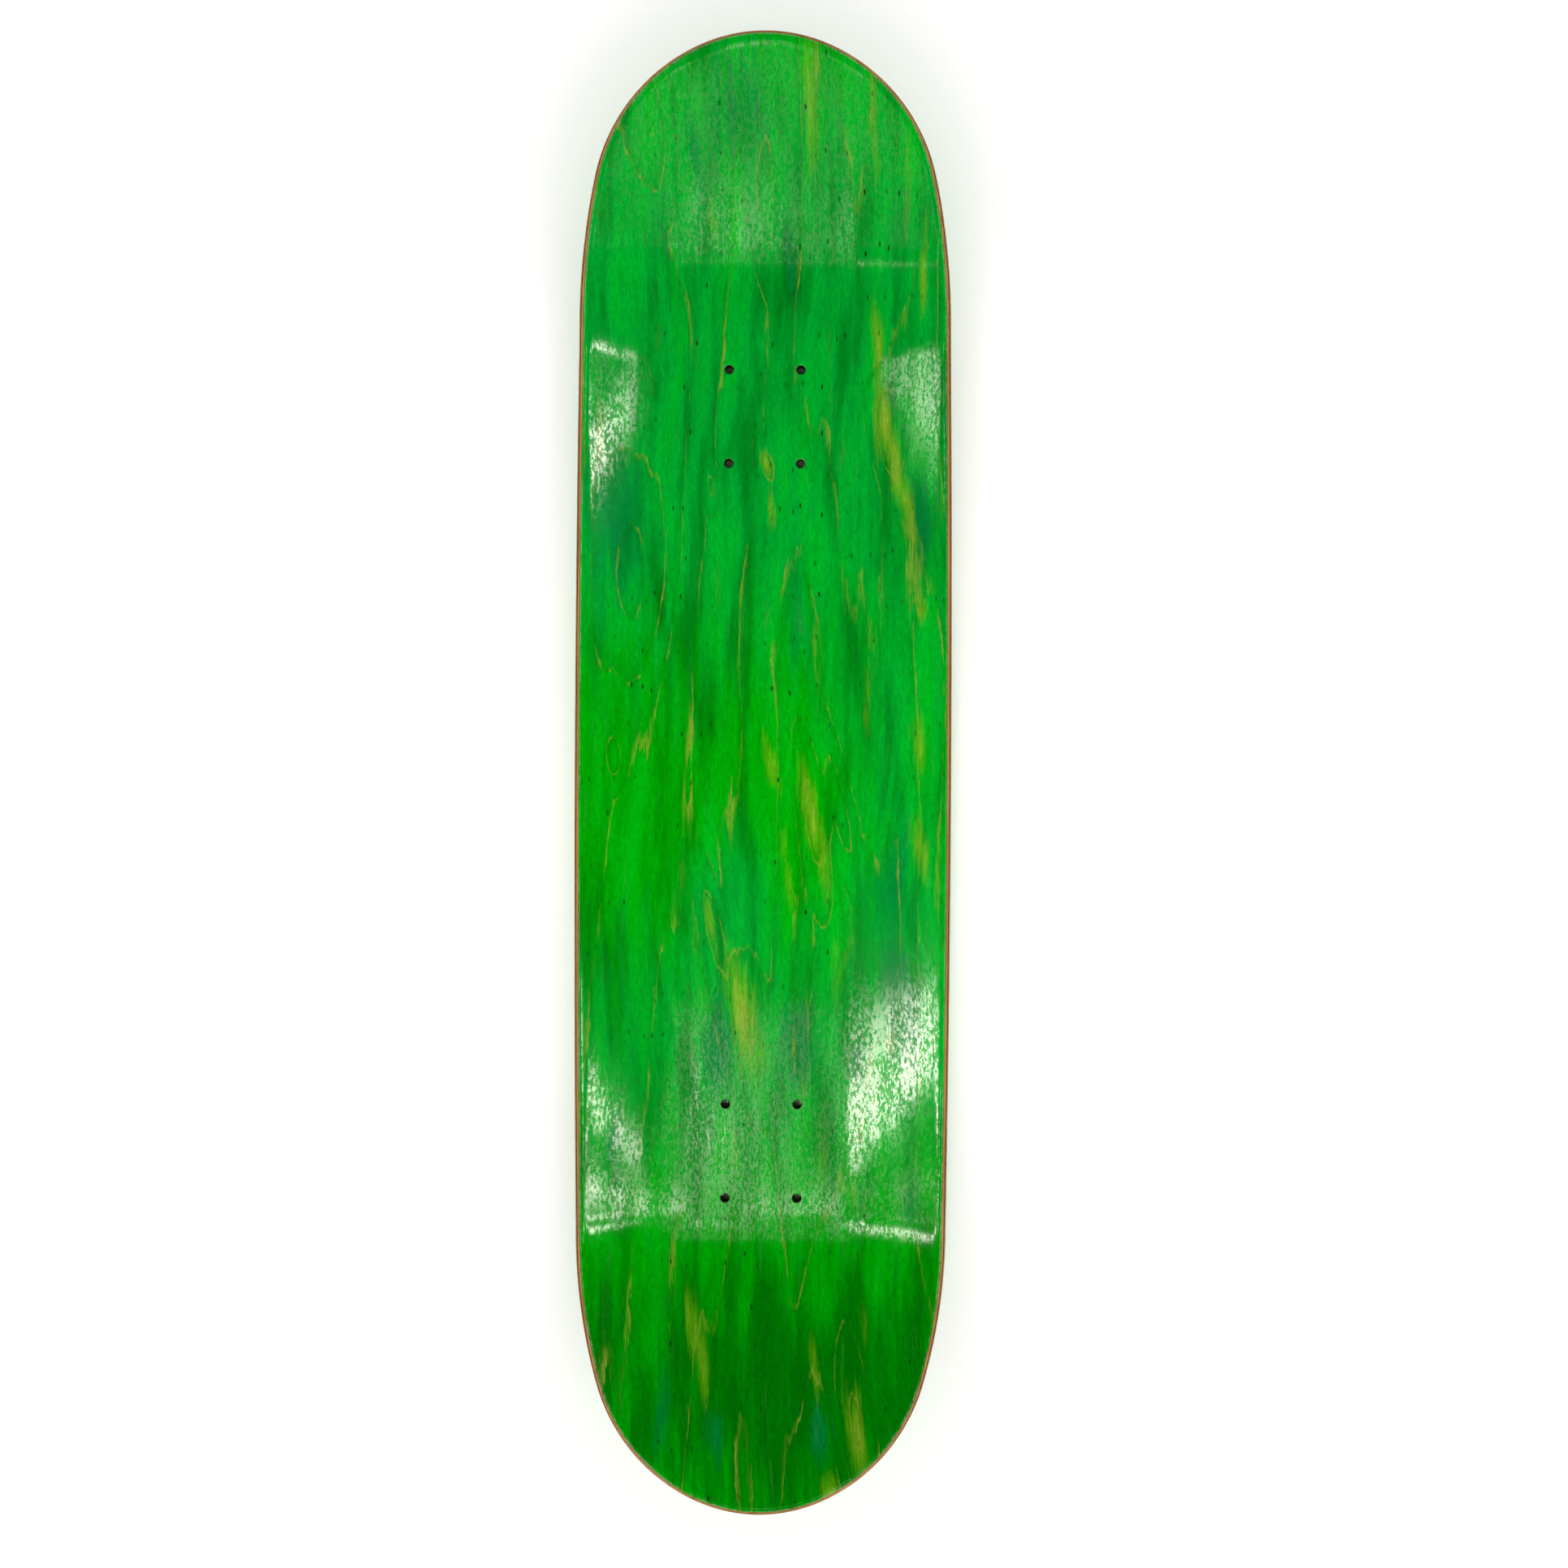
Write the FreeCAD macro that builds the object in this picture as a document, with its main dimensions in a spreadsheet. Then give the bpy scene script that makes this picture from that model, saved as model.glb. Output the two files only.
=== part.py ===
import FreeCAD, Part
import math
import os
import Sketcher
from FreeCAD import Vector

# A bare street skateboard deck: seven maple veneers pressed into one curved board, then
# drilled for the trucks, cut to its outline and rounded over all the way round its edge.
#
# X runs along the board with the nose at +X, Y across it and Z up. The origin is on the flat
# underside, halfway between the two truck hole patterns. Millimetres and degrees.

DRIVING_SIZES = [
    ("width", 215.9, "across the rails where the board is widest"),
    ("wheelbase", 368.3, "between the inner truck holes"),
    ("hole_pitch", 53.975, "truck hole pattern, along the board"),
    ("hole_spacing", 41.275, "truck hole pattern, across the board"),
    ("hole_diameter", 5.5, "clearance hole for a truck bolt"),
    ("nose_length", 181.0, "outer truck holes to the nose tip"),
    ("tail_length", 168.3, "outer truck holes to the tail tip"),
    ("nose_tip_radius", 99.5, "outline, round the nose tip"),
    ("nose_side_radius", 345.0, "outline, nose tip to rail"),
    ("tail_tip_radius", 97.5, "outline, round the tail tip"),
    ("tail_side_radius", 265.0, "outline, tail tip to rail"),
    ("rail_radius", 20000.0, "outline, the slight bow of the rails"),
    ("widest_station", 20.0, "where the rails are widest, ahead of the middle"),
    ("nose_bend_start", 4.0, "outer truck holes to the nose bend"),
    ("nose_bend_radius", 250.0, "underside radius of the nose bend"),
    ("nose_bend_angle", 17.0, "rise of the nose at the end of its bend"),
    ("nose_kick_radius", 1200.0, "underside radius of the nose beyond its bend"),
    ("tail_bend_start", 9.0, "outer truck holes to the tail bend"),
    ("tail_bend_radius", 220.0, "underside radius of the tail bend"),
    ("tail_bend_angle", 20.0, "rise of the tail at the end of its bend"),
    ("tail_kick_radius", 1000.0, "underside radius of the tail beyond its bend"),
    ("flat_half_width", 38.0, "middle line to the start of the concave"),
    ("concave_radius", 250.0, "underside radius of the concave"),
    ("long_ply", 1.6, "thickness of a veneer with its grain along the board"),
    ("cross_ply", 1.3, "thickness of a veneer with its grain across the board"),
    ("edge_radius", 4.5, "round-over of the board's edge, top and bottom"),
    ("edge_tilt", 19.0, "lean of the edge, square to the curved faces"),
    ("blank_overrun", 15.0, "how far the pressed blank runs past the tips"),
    ("blank_half_width", 118.0, "middle line to the side of the pressed blank"),
]

# The veneers from the bottom up, each with the sheet's name for its thickness.
PLIES = [
    ("bottom_face_ply", "long_ply"),
    ("lower_core_ply", "long_ply"),
    ("lower_cross_ply", "cross_ply"),
    ("centre_core_ply", "long_ply"),
    ("upper_cross_ply", "cross_ply"),
    ("upper_core_ply", "long_ply"),
    ("top_face_ply", "long_ply"),
]

# Names for a sketch's parts, as Sketcher numbers them.
START, END, CENTRE = 1, 2, 3
X_AXIS, Y_AXIS, ORIGIN = -1, -2, (-1, 1)

UP = Vector(0, 0, 1)
ROUND_STEPS = 5         # levels up each round-over of the edge
SEW_TOLERANCE = 1e-4
VOLUME_SLACK = 1e-4     # how far the veneers' volumes may miss the board's, as a share of it


# ---- the sheet of driving sizes ----

doc = FreeCAD.newDocument("skateboard_deck")
sheet = doc.addObject("Spreadsheet::Sheet", "sizes")
for row, (alias, size, meaning) in enumerate(DRIVING_SIZES, start=1):
    sheet.set(f"A{row}", meaning)
    sheet.set(f"B{row}", str(size))
    sheet.setAlias(f"B{row}", alias)
doc.recompute()

board_thickness = sum(sheet.get(thickness) for _, thickness in PLIES)
outer_hole = sheet.wheelbase / 2 + sheet.hole_pitch
nose_tip = outer_hole + sheet.nose_length
tail_tip = -outer_hole - sheet.tail_length
NOSE_BEND = "sizes.wheelbase / 2 + sizes.hole_pitch + sizes.nose_bend_start"
TAIL_BEND = "sizes.wheelbase / 2 + sizes.hole_pitch + sizes.tail_bend_start"
NOSE_TIP = "sizes.wheelbase / 2 + sizes.hole_pitch + sizes.nose_length"
TAIL_TIP = "sizes.wheelbase / 2 + sizes.hole_pitch + sizes.tail_length"


# ---- sketches ----

def sketch_on(body, plane_role, name):
    """A new sketch in a body, lying on one of the body's own origin planes."""
    plane = next(item for item in body.Origin.OriginFeatures if item.Role == plane_role)
    sketch = body.newObject("Sketcher::SketchObject", name)
    sketch.AttachmentSupport = (plane, "")
    sketch.MapMode = "FlatFace"
    return sketch


def line(start, end):
    return Part.LineSegment(Vector(*start), Vector(*end))


def arc(centre, radius, from_degrees, to_degrees):
    """An arc that turns anticlockwise from one angle to the other."""
    circle = Part.Circle(Vector(*centre), UP, radius)
    return Part.ArcOfCircle(circle, math.radians(from_degrees), math.radians(to_degrees))


def relate(sketch, kind, *places):
    """Add a constraint that has no size."""
    sketch.addConstraint(Sketcher.Constraint(kind, *places))


def dimension(sketch, name, kind, places, expression):
    """Add a constraint whose size is bound to the sheet."""
    value = float(sketch.evalExpression(expression))
    index = sketch.addConstraint(Sketcher.Constraint(kind, *places, value))
    sketch.renameConstraint(index, name)
    sketch.setExpression(f"Constraints.{name}", expression)


def kick(end):
    """Where one end of the board bends up, in the side view.

    Gives its bend's start, radius and angle and its corner, where the bend hands over to the
    gentler curve of the kick, then that curve's radius, centre and angle at the blank's end.
    """
    outward = 1 if end == "nose" else -1
    radius, angle, kick_radius, start = (
        sheet.get(f"{end}_{size}") for size in ("bend_radius", "bend_angle", "kick_radius",
                                                "bend_start"))
    turn = math.radians(angle)
    bend = outward * (outer_hole + start)
    corner = (bend + outward * radius * math.sin(turn), radius * (1 - math.cos(turn)))
    centre = (corner[0] - outward * kick_radius * math.sin(turn),
              corner[1] + kick_radius * math.cos(turn))
    blank_end = (nose_tip if end == "nose" else tail_tip) + outward * sheet.blank_overrun
    end_angle = math.degrees(math.asin(abs(blank_end - centre[0]) / kick_radius))
    return bend, radius, angle, kick_radius, centre, end_angle


def draw_side_line(sketch):
    """The underside seen from the side: tail kick, tail bend, flat, nose bend, nose kick."""
    (nose_bend, nose_radius, nose_angle, nose_kick_radius,
     nose_centre, nose_end_angle) = kick("nose")
    (tail_bend, tail_radius, tail_angle, tail_kick_radius,
     tail_centre, tail_end_angle) = kick("tail")
    down = -90
    sketch.addGeometry([
        arc(tail_centre, tail_kick_radius, down - tail_end_angle, down - tail_angle),
        arc((tail_bend, tail_radius), tail_radius, down - tail_angle, down),
        line((tail_bend, 0), (nose_bend, 0)),
        arc((nose_bend, nose_radius), nose_radius, down, down + nose_angle),
        arc(nose_centre, nose_kick_radius, down + nose_angle, down + nose_end_angle),
    ])
    tail_kick, tail_arc, flat, nose_arc, nose_kick = range(5)
    for first, second in ((tail_kick, tail_arc), (tail_arc, flat), (flat, nose_arc),
                          (nose_arc, nose_kick)):
        relate(sketch, "Tangent", first, END, second, START)
    relate(sketch, "PointOnObject", flat, START, X_AXIS)
    relate(sketch, "PointOnObject", flat, END, X_AXIS)
    dimension(sketch, "tail_bend", "DistanceX", (flat, START, *ORIGIN), TAIL_BEND)
    dimension(sketch, "nose_bend", "DistanceX", (*ORIGIN, flat, END), NOSE_BEND)
    dimension(sketch, "tail_corner", "DistanceX", (tail_arc, START, *ORIGIN),
              TAIL_BEND + " + sizes.tail_bend_radius * sin(sizes.tail_bend_angle * 1 deg)")
    dimension(sketch, "nose_corner", "DistanceX", (*ORIGIN, nose_arc, END),
              NOSE_BEND + " + sizes.nose_bend_radius * sin(sizes.nose_bend_angle * 1 deg)")
    dimension(sketch, "tail_radius", "Radius", (tail_arc,), "sizes.tail_bend_radius")
    dimension(sketch, "nose_radius", "Radius", (nose_arc,), "sizes.nose_bend_radius")
    dimension(sketch, "tail_kick_radius", "Radius", (tail_kick,), "sizes.tail_kick_radius")
    dimension(sketch, "nose_kick_radius", "Radius", (nose_kick,), "sizes.nose_kick_radius")
    dimension(sketch, "tail_end", "DistanceX", (tail_kick, START, *ORIGIN),
              TAIL_TIP + " + sizes.blank_overrun")
    dimension(sketch, "nose_end", "DistanceX", (*ORIGIN, nose_kick, END),
              NOSE_TIP + " + sizes.blank_overrun")


def draw_veneer_section(sketch, below, above):
    """The band of one veneer across the board, between two heights in the stack.

    The heights are expressions of the sheet. Both faces are flat in the middle and rise in
    arcs about the same centre on each side, so every veneer nests in the next.
    """
    flat = sheet.flat_half_width
    centre_height = sheet.concave_radius
    radii = [centre_height - float(sketch.evalExpression(height)) for height in (below, above)]
    turn = math.asin((sheet.blank_half_width - flat) / sheet.concave_radius)
    sweep = math.degrees(turn)

    def side_point(side, radius):
        return (side * (flat + radius * math.sin(turn)), centre_height - radius * math.cos(turn))

    lower, upper = radii
    sketch.addGeometry([
        line((-flat, centre_height - lower), (flat, centre_height - lower)),
        arc((flat, centre_height), lower, -90, -90 + sweep),
        line(side_point(1, lower), side_point(1, upper)),
        arc((flat, centre_height), upper, -90, -90 + sweep),
        line((-flat, centre_height - upper), (flat, centre_height - upper)),
        arc((-flat, centre_height), upper, -90 - sweep, -90),
        line(side_point(-1, upper), side_point(-1, lower)),
        arc((-flat, centre_height), lower, -90 - sweep, -90),
    ])
    (bottom, right_lower, right_side, right_upper,
     top, left_upper, left_side, left_lower) = range(8)
    for flat_line, right_arc, left_arc in ((bottom, right_lower, left_lower),
                                           (top, right_upper, left_upper)):
        relate(sketch, "Tangent", flat_line, END, right_arc, START)
        relate(sketch, "Tangent", flat_line, START, left_arc, END)
    relate(sketch, "Equal", right_upper, left_upper)
    relate(sketch, "Coincident", right_side, START, right_lower, END)
    relate(sketch, "Coincident", right_side, END, right_upper, END)
    relate(sketch, "Coincident", left_side, START, left_upper, START)
    relate(sketch, "Coincident", left_side, END, left_lower, START)
    relate(sketch, "Coincident", right_upper, CENTRE, right_lower, CENTRE)
    relate(sketch, "Coincident", left_upper, CENTRE, left_lower, CENTRE)
    relate(sketch, "PointOnObject", right_lower, CENTRE, right_side)
    relate(sketch, "PointOnObject", left_lower, CENTRE, left_side)
    relate(sketch, "Symmetric", left_lower, CENTRE, right_lower, CENTRE, Y_AXIS)
    dimension(sketch, "flat", "DistanceX", (*ORIGIN, right_lower, CENTRE),
              "sizes.flat_half_width")
    dimension(sketch, "centre_height", "DistanceY", (*ORIGIN, right_lower, CENTRE),
              "sizes.concave_radius")
    dimension(sketch, "lower_radius", "Radius", (right_lower,),
              f"sizes.concave_radius - ({below})")
    dimension(sketch, "upper_radius", "Radius", (right_upper,),
              f"sizes.concave_radius - ({above})")
    dimension(sketch, "right_reach", "DistanceX", (*ORIGIN, right_lower, END),
              f"sizes.flat_half_width + (sizes.blank_half_width - sizes.flat_half_width)"
              f" * (sizes.concave_radius - ({below})) / sizes.concave_radius")
    relate(sketch, "Symmetric", left_lower, START, right_lower, END, Y_AXIS)


def side_arc_centre(tip_centre, tip_radius, side_radius, rail_centre):
    """Centre of the arc that runs smoothly from a tip's arc into the rail's."""
    to_tip = side_radius - tip_radius
    to_rail = sheet.rail_radius - side_radius
    apart = rail_centre - tip_centre
    along = (to_tip ** 2 - to_rail ** 2 + apart.Length ** 2) / (2 * apart.Length)
    offset = math.sqrt(to_tip ** 2 - along ** 2)
    direction = Vector(apart).normalize()
    towards_middle = direction.cross(UP) * math.copysign(1, tip_centre.x)
    return tip_centre + direction * along + towards_middle * offset


def bearing(start, end):
    """Direction from one point to another, in degrees from +X, from -180 to 180."""
    return math.degrees(math.atan2(end.y - start.y, end.x - start.x))


def draw_half_outline(sketch):
    """The left half of the outline in plan: nose tip, side, rail, side and tail tip."""
    rail = Vector(sheet.widest_station, sheet.width / 2 - sheet.rail_radius)
    nose = Vector(nose_tip - sheet.nose_tip_radius, 0)
    tail = Vector(tail_tip + sheet.tail_tip_radius, 0)
    nose_side = side_arc_centre(nose, sheet.nose_tip_radius, sheet.nose_side_radius, rail)
    tail_side = side_arc_centre(tail, sheet.tail_tip_radius, sheet.tail_side_radius, rail)
    turns = [0, bearing(nose_side, nose), bearing(rail, nose_side),
             bearing(rail, tail_side), bearing(tail_side, tail), 180]
    arcs = [
        (nose, sheet.nose_tip_radius), (nose_side, sheet.nose_side_radius),
        (rail, sheet.rail_radius),
        (tail_side, sheet.tail_side_radius), (tail, sheet.tail_tip_radius),
    ]
    sketch.addGeometry([arc(centre, radius, start, end)
                        for (centre, radius), start, end in zip(arcs, turns, turns[1:])])
    nose_arc, nose_side_arc, rail_arc, tail_side_arc, tail_arc = range(5)
    for first in range(4):
        relate(sketch, "Tangent", first, END, first + 1, START)
    relate(sketch, "PointOnObject", nose_arc, START, X_AXIS)
    relate(sketch, "PointOnObject", nose_arc, CENTRE, X_AXIS)
    relate(sketch, "PointOnObject", tail_arc, END, X_AXIS)
    relate(sketch, "PointOnObject", tail_arc, CENTRE, X_AXIS)
    dimension(sketch, "nose_tip", "DistanceX", (*ORIGIN, nose_arc, START), NOSE_TIP)
    dimension(sketch, "tail_tip", "DistanceX", (tail_arc, END, *ORIGIN), TAIL_TIP)
    dimension(sketch, "station", "DistanceX", (*ORIGIN, rail_arc, CENTRE),
              "sizes.widest_station")
    dimension(sketch, "rail_centre", "DistanceY", (rail_arc, CENTRE, *ORIGIN),
              "sizes.rail_radius - sizes.width / 2")
    for index, name in enumerate(("nose_tip_radius", "nose_side_radius", "rail_radius",
                                  "tail_side_radius", "tail_tip_radius")):
        dimension(sketch, name, "Radius", (index,), f"sizes.{name}")


# ---- the pressed veneers, before they are cut out ----

def pressed_veneer(name, below, above):
    """A body that sweeps one veneer's section along the board's side line."""
    body = doc.addObject("PartDesign::Body", name + "_blank")
    side_line = sketch_on(body, "XZ_Plane", name + "_side_line")
    draw_side_line(side_line)
    section = sketch_on(body, "YZ_Plane", name + "_section")
    draw_veneer_section(section, below, above)
    doc.recompute()
    pipe = body.newObject("PartDesign::AdditivePipe", name + "_pipe")
    pipe.Profile = section
    pipe.Spine = (side_line, [f"Edge{number + 1}" for number in range(5)])
    pipe.Transition = "Right corner"
    body.Tip = pipe
    return body


blanks = {}
height = "0"
for ply_name, thickness_name in PLIES:
    height_above = f"{height} + sizes.{thickness_name}"
    blanks[ply_name] = pressed_veneer(ply_name, height, height_above)
    height = height_above
doc.recompute()


# ---- the board's solid outline, routed and drilled ----

def curved_sheet(side_line, height):
    """The surface that the veneers share at one height in the stack."""
    flat = sheet.flat_half_width
    radius = sheet.concave_radius - height
    turn = math.asin((sheet.blank_half_width - flat) / sheet.concave_radius)

    def arc_point(side, angle):
        return Vector(0, side * (flat + radius * math.sin(angle)),
                      sheet.concave_radius - radius * math.cos(angle))

    section = Part.Wire([
        Part.Arc(*(arc_point(-1, angle) for angle in (turn, turn / 2, 0))).toShape(),
        Part.LineSegment(arc_point(-1, 0), arc_point(1, 0)).toShape(),
        Part.Arc(*(arc_point(1, angle) for angle in (0, turn / 2, turn))).toShape(),
    ])
    pipe = Part.BRepOffsetAPI.MakePipeShell(side_line)
    pipe.add(section)
    pipe.setTransitionMode(1)
    pipe.build()
    return pipe.shape()


def edge_inset(height):
    """How far inside the widest outline the routed edge lies at one height in the stack.

    The wall leans in as it rises, because it is square to the curved faces, and it meets
    each face in a round-over.
    """
    radius = sheet.edge_radius
    lean = math.radians(sheet.edge_tilt)
    depth = min(height, board_thickness - height, radius)
    rounding = radius - math.sqrt(radius ** 2 - (radius - depth) ** 2)
    widest = radius * (1 - math.cos(lean) + math.sin(lean) - math.sin(lean) ** 2)
    return rounding + height * math.sin(lean) - widest


def outer_edge(faces):
    """The closed line round a set of joined faces: the edges that only one face has."""
    shell = Part.makeShell(faces)
    uses = {}
    for face in shell.Faces:
        for edge in face.Edges:
            uses.setdefault(edge.hashCode(), []).append(edge)
    free = [edges[0] for edges in uses.values() if len(edges) == 1]
    return Part.Wire(Part.__sortEdges__(free))


def routed_form(side_line, outline):
    """The whole board as one solid, with its edge rounded over, to cut the veneers out."""
    round_depths = [sheet.edge_radius * (1 - math.cos(math.pi / 2 * step / ROUND_STEPS))
                    for step in range(ROUND_STEPS + 1)]
    heights = round_depths + [board_thickness - depth for depth in reversed(round_depths)]
    tall = Vector(0, 0, 2 * sheet.blank_half_width)
    trimmed = []
    for height in heights:
        inset = Part.Face(outline).makeOffset2D(-edge_inset(height))
        trimmed.append(curved_sheet(side_line, height).common(inset.extrude(tall)))
    rims = [outer_edge(surface.Faces) for surface in trimmed]
    shoulder = ROUND_STEPS
    faces = trimmed[0].Faces + trimmed[-1].Faces
    for stretch in (rims[:shoulder + 1], rims[shoulder:shoulder + 2], rims[shoulder + 1:]):
        ruled = len(stretch) == 2
        faces += Part.makeLoft(stretch, False, ruled).Faces
    skin = Part.makeCompound(faces)
    skin.sewShape(SEW_TOLERANCE)
    form = Part.Solid(skin.Shells[0])
    if form.Volume < 0:
        form.reverse()
    return form


outline_body = doc.addObject("PartDesign::Body", "outline_template")
half_outline = sketch_on(outline_body, "XY_Plane", "half_outline")
draw_half_outline(half_outline)
doc.recompute()
left_half = half_outline.Shape
right_half = left_half.mirror(Vector(0, 0, 0), Vector(0, 1, 0))
whole_outline = Part.Wire(Part.__sortEdges__(left_half.Edges + right_half.Edges))
side_line_wire = doc.getObject("bottom_face_ply_side_line").Shape.Wires[0]

routed = doc.addObject("Part::Feature", "routed_form")
routed.Shape = routed_form(side_line_wire, whole_outline)

drills = []
for end, end_sign in (("nose", 1), ("tail", -1)):
    for row, row_expression in (("inner", "sizes.wheelbase / 2"),
                                ("outer", "sizes.wheelbase / 2 + sizes.hole_pitch")):
        for side, side_sign in (("left", 1), ("right", -1)):
            drill = doc.addObject("Part::Cylinder", f"{end}_{row}_{side}_drill")
            drill.setExpression("Radius", "sizes.hole_diameter / 2")
            drill.Height = 2 * board_thickness
            drill.setExpression("Placement.Base.x", f"{end_sign} * ({row_expression})")
            drill.setExpression("Placement.Base.y", f"{side_sign} * sizes.hole_spacing / 2")
            drill.Placement.Base.z = -board_thickness / 2
            drills.append(drill)

all_drills = doc.addObject("Part::MultiFuse", "all_drills")
all_drills.Shapes = drills
drilled = doc.addObject("Part::Cut", "drilled_form")
drilled.Base = routed
drilled.Tool = all_drills


# ---- the veneers, cut out of their blanks ----

plies = []
for ply_name, _ in PLIES:
    ply = doc.addObject("Part::Common", ply_name)
    ply.Label = ply_name
    ply.Base = blanks[ply_name]
    ply.Tool = drilled
    ply.Placement = FreeCAD.Placement()
    plies.append(ply)
doc.recompute()


# ---- checks, then one file for each veneer ----

for item in doc.Objects:
    if "Invalid" in item.State or "Error" in item.State:
        raise RuntimeError(f"{item.Name} did not build: {item.State}")
for ply in plies:
    if ply.Shape.isNull() or not ply.Shape.isValid() or len(ply.Shape.Solids) != 1:
        raise RuntimeError(f"{ply.Label} is not one valid solid")
total_volume = sum(ply.Shape.Volume for ply in plies)
if abs(total_volume / drilled.Shape.Volume - 1) > VOLUME_SLACK:
    raise RuntimeError("the veneers don't add up to the board")

os.makedirs("parts", exist_ok=True)
for ply in plies:
    ply.Shape.exportStep(f"parts/{ply.Label}.step")
    print(f"{ply.Label}: {ply.Shape.Volume:.0f} mm3, {len(ply.Shape.Faces)} faces")
box = drilled.Shape.optimalBoundingBox()
print(f"board {box.XLength:.2f} x {box.YLength:.2f} x {box.ZLength:.2f} mm, {total_volume:.0f} mm3")
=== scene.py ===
# %% [markdown]
# # A bare skateboard deck
#
# A bare deck is seven maple veneers, glued and pressed in a curved mould, then drilled for the
# trucks, cut to its outline and rounded over all the way round its edge. Both face veneers are
# dyed green before pressing, the five between them are natural maple, and clear lacquer goes
# over everything. This lesson builds it the way the workshop does: a flat blank of each veneer,
# a mould that bends it, a drill, and then the dye, the grain and the lacquer.
#
# The CAD model comes first, as the fixed frame. Every piece made here stands for one of its
# nodes, and has to lie in the same place.

# %% Load the frame
import math

import bmesh
import bpy
import numpy
from mathutils import Matrix, Vector


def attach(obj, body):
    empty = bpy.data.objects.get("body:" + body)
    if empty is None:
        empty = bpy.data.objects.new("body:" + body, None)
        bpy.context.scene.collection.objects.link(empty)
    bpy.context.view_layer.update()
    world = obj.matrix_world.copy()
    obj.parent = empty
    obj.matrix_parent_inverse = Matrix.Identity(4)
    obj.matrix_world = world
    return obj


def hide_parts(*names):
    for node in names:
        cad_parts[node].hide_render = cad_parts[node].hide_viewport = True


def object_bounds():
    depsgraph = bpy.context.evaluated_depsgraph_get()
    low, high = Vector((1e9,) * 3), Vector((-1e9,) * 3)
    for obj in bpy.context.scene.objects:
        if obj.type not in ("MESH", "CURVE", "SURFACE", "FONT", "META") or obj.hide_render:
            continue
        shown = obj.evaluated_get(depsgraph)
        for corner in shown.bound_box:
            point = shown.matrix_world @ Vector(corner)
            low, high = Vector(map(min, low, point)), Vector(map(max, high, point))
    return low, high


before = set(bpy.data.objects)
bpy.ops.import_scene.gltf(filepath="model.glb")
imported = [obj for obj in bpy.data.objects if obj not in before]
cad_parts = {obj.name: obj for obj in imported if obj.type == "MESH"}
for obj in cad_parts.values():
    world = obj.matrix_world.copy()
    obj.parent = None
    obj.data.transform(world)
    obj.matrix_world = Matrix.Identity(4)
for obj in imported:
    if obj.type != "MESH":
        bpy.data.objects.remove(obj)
cad_low, cad_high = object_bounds()
MM = 0.001
print("CAD box:", [round(side / MM, 1) for side in cad_high - cad_low], "mm")

# %% [markdown]
# ## The mould and the outline
#
# A part of this kind could be cut from a block with booleans, but pressed wood isn't carved: all
# its layers share one smooth curved surface. So the shape is kept as two small formulas, one for
# the outline seen from above and one for how high the surface lies over each point of it. Every
# veneer is then a plain flat grid, moved to its place by those formulas, and its quads stay even.
#
# The driving sizes are the ones that the deck was designed with. X runs to the nose and Z is up.

# %% Driving sizes
TIPS = {"nose": cad_high.x, "tail": cad_low.x}
HALF_WIDTH = 107.95 * MM
WIDEST_STATION = 20 * MM
RAIL_RADIUS = 20.0
OUTLINE_RADII = {"nose": (99.5 * MM, 345 * MM), "tail": (97.5 * MM, 265 * MM)}

WHEELBASE = 368.3 * MM
HOLE_PITCH = 53.975 * MM
HOLE_SPACING = 41.275 * MM
HOLE_RADIUS = 2.75 * MM
OUTER_HOLE = WHEELBASE / 2 + HOLE_PITCH

# Each end's bend start and radius, the angle where the bend ends, and the kick's own radius.
BENDS = {
    "nose": (OUTER_HOLE + 4 * MM, 250 * MM, math.radians(17), 1200 * MM),
    "tail": (OUTER_HOLE + 9 * MM, 220 * MM, math.radians(20), 1000 * MM),
}
FLAT_HALF_WIDTH = 38 * MM
CONCAVE_RADIUS = 250 * MM
EDGE_RADIUS = 4.5 * MM
EDGE_TILT = math.radians(19)

# The veneers from the bottom up: name, thickness and the record's material slot.
LONG, CROSS = 1.6 * MM, 1.3 * MM
PLIES = [
    ("bottom_face_ply", LONG, "stained_maple"),
    ("lower_core_ply", LONG, "natural_maple"),
    ("lower_cross_ply", CROSS, "cross_maple"),
    ("centre_core_ply", LONG, "natural_maple"),
    ("upper_cross_ply", CROSS, "cross_maple"),
    ("upper_core_ply", LONG, "natural_maple"),
    ("top_face_ply", LONG, "stained_maple"),
]
THICKNESS = sum(thickness for _, thickness, _ in PLIES)
print(f"{len(PLIES)} veneers, {THICKNESS / MM:.1f} mm in all")

# %% [markdown]
# The outline is five arcs on each side: round the nose tip, along to the rail, the rail itself,
# back in, and round the tail tip. Neighbouring arcs are tangent, so the centre of each joining
# arc follows from the two circles beside it, and moving the whole outline inwards only makes
# every radius smaller.

# %% The outline
RAIL_CENTRE = Vector((WIDEST_STATION, HALF_WIDTH - RAIL_RADIUS))


def joining_centre(tip_centre, tip_radius, side_radius):
    """Centre of the arc that touches both a tip's circle and the rail's from inside."""
    to_tip, to_rail = side_radius - tip_radius, RAIL_RADIUS - side_radius
    gap = RAIL_CENTRE - tip_centre
    along = (to_tip ** 2 - to_rail ** 2 + gap.length ** 2) / (2 * gap.length)
    aside = math.sqrt(to_tip ** 2 - along ** 2)
    direction = gap.normalized()
    towards_middle = Vector((direction.y, -direction.x)) * math.copysign(1, tip_centre.x)
    return tip_centre + direction * along + towards_middle * aside


def bearing(start, end):
    return math.atan2(end.y - start.y, end.x - start.x)


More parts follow.
